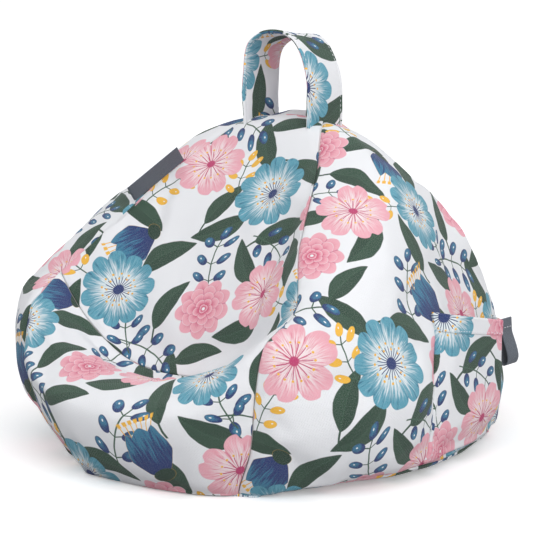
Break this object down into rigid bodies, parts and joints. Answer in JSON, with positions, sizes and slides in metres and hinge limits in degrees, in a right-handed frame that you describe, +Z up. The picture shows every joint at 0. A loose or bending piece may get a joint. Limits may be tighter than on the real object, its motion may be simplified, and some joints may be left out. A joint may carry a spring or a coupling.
{
  "type": "beanbag tablet stand",
  "caption": "Filled fabric stand with a sloping face and front lip that hold a tablet, a strap handle on top, a side phone pocket and a hanging ribbon loop.",
  "frame": {"origin": "on the floor under the middle of the filled bag", "axes": "+Z up, -Y towards the lip that the tablet stands on, +X towards the phone pocket"},
  "size_m": [0.3048, 0.3376, 0.2707],
  "materials": {
    "printed_cotton": "woven cotton with a floral print",
    "lining": "plain lining cloth",
    "beads": "foamed beads",
    "label_weave": "plain woven label",
    "ribbon": "grosgrain ribbon",
    "zip_tape": "woven tape",
    "zip_teeth": "moulded",
    "zip_metal": "nickel"
  },
  "bodies": {
    "bag": {"front_lip_panel": "printed_cotton", "rest_face_panel": "printed_cotton", "back_panel": "printed_cotton", "base_panel": "printed_cotton", "right_side_panel": "printed_cotton", "left_side_panel": "printed_cotton", "phone_pocket": "printed_cotton", "pocket_hem": "printed_cotton", "strap_end_left": "printed_cotton", "strap_end_right": "printed_cotton", "inner_bag": "lining", "bead_filling": "beads", "ribbon_tab": "ribbon", "zip_tape_upper": "zip_tape", "zip_tape_lower": "zip_tape", "zip_teeth_upper": "zip_teeth", "zip_teeth_lower": "zip_teeth", "zip_stop_left": "zip_metal", "zip_stop_right": "zip_metal"},
    "handle": {"handle_strap": "printed_cotton"},
    "label": {"woven_label": "label_weave"},
    "ribbon": {"ribbon_loop": "ribbon"},
    "slider": {"zip_slider": "zip_metal", "zip_bridge": "zip_metal"},
    "pull": {"zip_pull": "zip_metal"}
  },
  "joints": [
    {"name": "handle_swing", "type": "hinge", "parent": "bag", "child": "handle", "pos_m": [0, 0.034, 0.23395], "axis": [1, 0, 0], "range_deg": [-70, 70], "stiffness_Nm_per_rad": 0.005},
    {"name": "label_flap", "type": "hinge", "parent": "bag", "child": "label", "pos_m": [-0.06452, -0.03032, 0.17355], "axis": [0.3763, 0.7178, 0.5858], "range_deg": [-45, 45], "stiffness_Nm_per_rad": 0.0005},
    {"name": "ribbon_swing", "type": "hinge", "parent": "bag", "child": "ribbon", "pos_m": [0.11774, 0.12491, 0.0639], "axis": [0, -1, 0], "range_deg": [0, 80]},
    {"name": "zip_slide", "type": "slide", "parent": "bag", "child": "slider", "axis": [1, 0, 0], "range_m": [0, 0.1035]},
    {"name": "pull_flip", "type": "hinge", "parent": "slider", "child": "pull", "pos_m": [-0.0508, 0.16851, 0.0327], "axis": [0, -0.282, -0.9594], "range_deg": [0, 170]}
  ]
}
